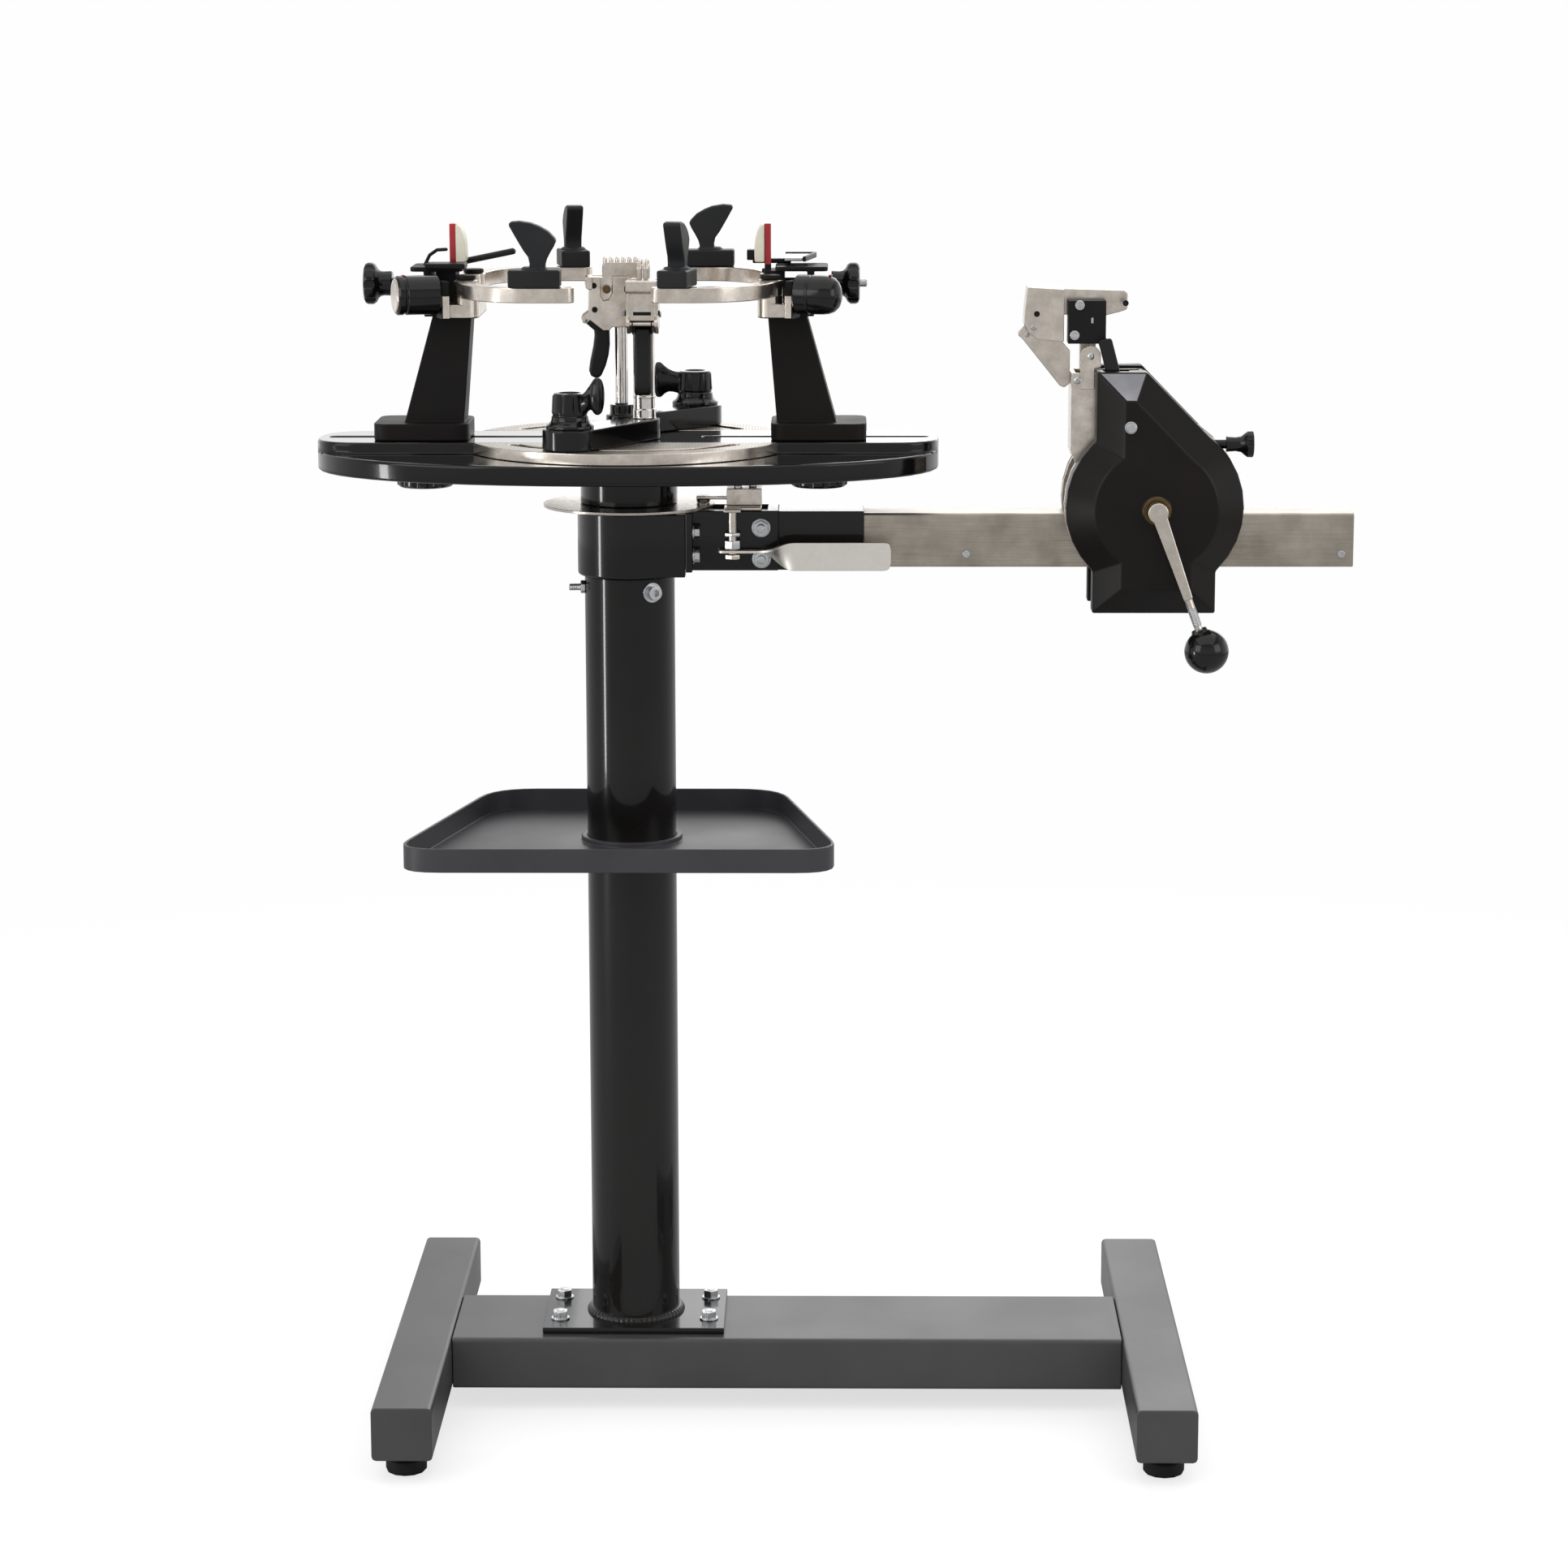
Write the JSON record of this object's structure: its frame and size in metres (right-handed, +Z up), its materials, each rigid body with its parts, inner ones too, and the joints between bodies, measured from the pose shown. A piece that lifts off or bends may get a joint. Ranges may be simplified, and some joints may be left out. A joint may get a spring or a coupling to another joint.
{
  "type": "racket stringing machine",
  "caption": "Column-stand racket stringing machine with a turntable, frame towers, string clamps and a crank tension head on a rail.",
  "frame": {"origin": "middle of the part's box on the floor", "axes": "+X from the column along the tension rail, +Y from the crank side to the back, +Z up"},
  "size_m": [0.9154, 0.4954, 1.081],
  "materials": {
    "black_gloss": "black gloss powder coat on steel",
    "base_charcoal": "satin charcoal powder coat on steel tube",
    "tray_grey": "satin dark grey powder coat on pressed steel",
    "tower_black": "matte black powder coat on cast metal",
    "nickel": "satin nickel plate on steel",
    "steel": "brushed steel tube",
    "zinc": "bright zinc plate on steel",
    "satin_black": "satin black paint on metal",
    "gloss_black_plastic": "glossy black phenolic",
    "cover_plastic": "satin black moulded plastic cover",
    "black_rubber": "black rubber",
    "grey_rubber": "dark grey moulded rubber",
    "red_paint": "red painted steel",
    "cream_pad": "cream nylon pad",
    "ivory_lever": "bright polished lever"
  },
  "bodies": {
    "stand": {"left_foot_tube": "base_charcoal", "right_foot_tube": "base_charcoal", "cross_tube": "base_charcoal", "column": "black_gloss", "tool_tray": "tray_grey", "mast_head": "black_gloss", "thrust_washer": "zinc", "rail_bracket": "black_gloss", "tension_rail": "steel", "brake_caliper": "zinc", "front_left_rubber_foot": "black_rubber", "rear_left_rubber_foot": "black_rubber", "front_right_rubber_foot": "black_rubber", "rear_right_rubber_foot": "black_rubber", "front_left_base_bolt": "zinc", "rear_left_base_bolt": "zinc", "front_right_base_bolt": "zinc", "rear_right_base_bolt": "zinc"},
    "brake_lever": {"turntable_brake_lever": "ivory_lever"},
    "turntable": {"turntable_spindle": "black_gloss", "brake_disc": "nickel", "turntable_plate": "black_gloss", "front_track_plate": "nickel", "rear_track_plate": "nickel"},
    "left_tower": {"left_tower": "tower_black"},
    "left_pad_slide": {"left_pad_carriage": "red_paint", "left_head_pad": "cream_pad"},
    "left_pad_knob": {"left_pad_knob": "gloss_black_plastic"},
    "left_front_side_arm": {"left_front_side_arm": "nickel"},
    "left_front_shoulder_pad": {"left_front_shoulder_pad": "grey_rubber"},
    "left_rear_side_arm": {"left_rear_side_arm": "nickel"},
    "left_rear_shoulder_pad": {"left_rear_shoulder_pad": "grey_rubber"},
    "left_arm_knob": {"left_arm_knob": "gloss_black_plastic"},
    "right_tower": {"right_tower": "tower_black"},
    "right_pad_slide": {"right_pad_carriage": "red_paint", "right_head_pad": "cream_pad"},
    "right_pad_knob": {"right_pad_knob": "gloss_black_plastic"},
    "right_front_side_arm": {"right_front_side_arm": "nickel"},
    "right_front_shoulder_pad": {"right_front_shoulder_pad": "grey_rubber"},
    "right_rear_side_arm": {"right_rear_side_arm": "nickel"},
    "right_rear_shoulder_pad": {"right_rear_shoulder_pad": "grey_rubber"},
    "right_arm_knob": {"right_arm_knob": "gloss_black_plastic"},
    "front_clamp_base": {"front_clamp_base": "satin_black"},
    "front_base_lock": {"front_base_lock": "gloss_black_plastic"},
    "front_clamp_head": {"front_clamp_head": "nickel"},
    "front_clamp_handle": {"front_clamp_handle": "black_rubber"},
    "rear_clamp_base": {"rear_clamp_base": "satin_black"},
    "rear_base_lock": {"rear_base_lock": "gloss_black_plastic"},
    "rear_clamp_head": {"rear_clamp_head": "nickel"},
    "rear_clamp_handle": {"rear_clamp_handle": "black_rubber"},
    "tension_head": {"tension_carriage": "nickel", "tension_head_front_cover": "cover_plastic", "tension_head_rear_cover": "cover_plastic", "gripper_body": "nickel"},
    "crank": {"tension_crank": "nickel"},
    "crank_ball": {"crank_ball_knob": "gloss_black_plastic"},
    "tension_knob": {"tension_knob": "gloss_black_plastic"},
    "gripper_jaw": {"gripper_jaw": "satin_black"},
    "release_lever": {"brake_release_lever": "gloss_black_plastic"}
  },
  "joints": [
    {"name": "brake_lever_swing", "type": "hinge", "parent": "stand", "child": "brake_lever", "pos_m": [-0.09045, -0.0234, 0.781], "axis": [0, 0, 1], "range_deg": [-30, 4]},
    {"name": "turntable_spin", "type": "hinge", "parent": "stand", "child": "turntable", "pos_m": [-0.18315, 0.0111, 0.854], "axis": [0, 0, 1], "continuous": true},
    {"name": "left_tower_slide", "type": "slide", "parent": "turntable", "child": "left_tower", "axis": [1, 0, 0], "range_m": [-0.035, 0.02]},
    {"name": "left_pad_slide", "type": "slide", "parent": "left_tower", "child": "left_pad_slide", "axis": [1, 0, 0], "range_m": [-0.003, 0.01]},
    {"name": "left_pad_knob_turn", "type": "hinge", "parent": "left_pad_slide", "child": "left_pad_knob", "pos_m": [-0.41615, 0.0271, 1.015], "axis": [1, 0, 0], "range_deg": [-280, 910]},
    {"name": "left_front_side_arm_swing", "type": "hinge", "parent": "left_tower", "child": "left_front_side_arm", "pos_m": [-0.32165, -0.0289, 1.009], "axis": [0, 0, 1], "range_deg": [-10, 12]},
    {"name": "left_front_shoulder_pad_swivel", "type": "hinge", "parent": "left_front_side_arm", "child": "left_front_shoulder_pad", "pos_m": [-0.25495, -0.1199, 1.0223], "axis": [0, 0, 1], "range_deg": [-30, 30]},
    {"name": "left_rear_side_arm_swing", "type": "hinge", "parent": "left_tower", "child": "left_rear_side_arm", "pos_m": [-0.32165, 0.0511, 1.009], "axis": [0, 0, 1], "range_deg": [-12.5, 10.5]},
    {"name": "left_rear_shoulder_pad_swivel", "type": "hinge", "parent": "left_rear_side_arm", "child": "left_rear_shoulder_pad", "pos_m": [-0.23865, 0.1421, 1.0223], "axis": [0, 0, 1], "range_deg": [-30, 30]},
    {"name": "left_arm_knob_turn", "type": "hinge", "parent": "left_tower", "child": "left_arm_knob", "pos_m": [-0.34458, -0.03903, 1.01], "axis": [0.9511, 0.309, 0], "range_deg": [-125, 149]},
    {"name": "right_tower_slide", "type": "slide", "parent": "turntable", "child": "right_tower", "axis": [-1, 0, 0], "range_m": [-0.035, 0.02]},
    {"name": "right_pad_slide", "type": "slide", "parent": "right_tower", "child": "right_pad_slide", "axis": [-1, 0, 0], "range_m": [-0.015, 0.004]},
    {"name": "right_pad_knob_turn", "type": "hinge", "parent": "right_pad_slide", "child": "right_pad_knob", "pos_m": [0.02145, 0.0271, 1.015], "axis": [-1, 0, 0], "range_deg": [-1360, 370]},
    {"name": "right_front_side_arm_swing", "type": "hinge", "parent": "right_tower", "child": "right_front_side_arm", "pos_m": [-0.05655, -0.0289, 1.009], "axis": [0, 0, 1], "range_deg": [-12, 10]},
    {"name": "right_front_shoulder_pad_swivel", "type": "hinge", "parent": "right_front_side_arm", "child": "right_front_shoulder_pad", "pos_m": [-0.13415, -0.1199, 1.0223], "axis": [0, 0, 1], "range_deg": [-30, 30]},
    {"name": "right_rear_side_arm_swing", "type": "hinge", "parent": "right_tower", "child": "right_rear_side_arm", "pos_m": [-0.05655, 0.0511, 1.009], "axis": [0, 0, 1], "range_deg": [-10.5, 12.5]},
    {"name": "right_rear_shoulder_pad_swivel", "type": "hinge", "parent": "right_rear_side_arm", "child": "right_rear_shoulder_pad", "pos_m": [-0.11405, 0.1421, 1.0223], "axis": [0, 0, 1], "range_deg": [-30, 30]},
    {"name": "right_arm_knob_turn", "type": "hinge", "parent": "right_tower", "child": "right_arm_knob", "pos_m": [-0.03362, -0.03903, 1.01], "axis": [-0.9511, 0.309, 0], "range_deg": [-149, 125]},
    {"name": "front_clamp_base_travel", "type": "hinge", "parent": "turntable", "child": "front_clamp_base", "pos_m": [-0.18315, 0.0111, 0.8813], "axis": [0, 0, 1], "range_deg": [-20, 25]},
    {"name": "front_base_lock_turn", "type": "hinge", "parent": "front_clamp_base", "child": "front_base_lock", "pos_m": [-0.22808, -0.09476, 0.8996], "axis": [0, 0, 1], "range_deg": [-40, 40]},
    {"name": "front_clamp_head_turn", "type": "hinge", "parent": "front_clamp_base", "child": "front_clamp_head", "pos_m": [-0.16805, -0.0074, 0.979], "axis": [0, 0, 1], "range_deg": [-20, 20]},
    {"name": "front_clamp_handle_open", "type": "hinge", "parent": "front_clamp_head", "child": "front_clamp_handle", "pos_m": [-0.16805, -0.0384, 0.984], "axis": [-1, 0, 0], "range_deg": [0, 45]},
    {"name": "rear_clamp_base_travel", "type": "hinge", "parent": "turntable", "child": "rear_clamp_base", "pos_m": [-0.18315, 0.0111, 0.8813], "axis": [0, 0, 1], "range_deg": [-20, 25]},
    {"name": "rear_base_lock_turn", "type": "hinge", "parent": "rear_clamp_base", "child": "rear_base_lock", "pos_m": [-0.1274, 0.11168, 0.8996], "axis": [0, 0, 1], "range_deg": [-40, 40]},
    {"name": "rear_clamp_head_turn", "type": "hinge", "parent": "rear_clamp_base", "child": "rear_clamp_head", "pos_m": [-0.1897, 0.02593, 0.979], "axis": [0, 0, 1], "range_deg": [-20, 20]},
    {"name": "rear_clamp_handle_open", "type": "hinge", "parent": "rear_clamp_head", "child": "rear_clamp_handle", "pos_m": [-0.22058, 0.02322, 0.984], "axis": [-0.0872, 0.9962, 0], "range_deg": [0, 45]},
    {"name": "tension_head_travel", "type": "slide", "parent": "stand", "child": "tension_head", "axis": [1, 0, 0], "range_m": [-0.06, 0.09]},
    {"name": "crank_turn", "type": "hinge", "parent": "tension_head", "child": "crank", "pos_m": [0.27985, 0.0111, 0.8235], "axis": [0, 1, 0], "range_deg": [-420, 630]},
    {"name": "crank_ball_spin", "type": "hinge", "parent": "crank", "child": "crank_ball", "pos_m": [0.32376, -0.0739, 0.7022], "axis": [0.3404, 0, -0.9403], "continuous": true},
    {"name": "tension_knob_turn", "type": "hinge", "parent": "tension_head", "child": "tension_knob", "pos_m": [0.34185, -0.0249, 0.878], "axis": [1, 0, 0], "range_deg": [-135, 135]},
    {"name": "gripper_jaw_open", "type": "slide", "parent": "tension_head", "child": "gripper_jaw", "axis": [0, -1, 0], "range_m": [0, 0.003]},
    {"name": "release_lever_push", "type": "hinge", "parent": "tension_head", "child": "release_lever", "pos_m": [0.24685, -0.0159, 0.925], "axis": [0, 1, 0], "range_deg": [0, 15]}
  ],
  "couplings": [
    {"joint": "left_pad_knob_turn", "follows": "left_pad_slide", "rad_per_m": 1570.8},
    {"joint": "left_rear_side_arm_swing", "follows": "left_front_side_arm_swing", "ratio": -1},
    {"joint": "left_arm_knob_turn", "follows": "left_front_side_arm_swing", "ratio": 12},
    {"joint": "right_pad_knob_turn", "follows": "right_pad_slide", "rad_per_m": 1570.8},
    {"joint": "right_rear_side_arm_swing", "follows": "right_front_side_arm_swing", "ratio": -1},
    {"joint": "right_arm_knob_turn", "follows": "right_front_side_arm_swing", "ratio": 12},
    {"joint": "crank_turn", "follows": "tension_head_travel", "rad_per_m": 121.21}
  ]
}
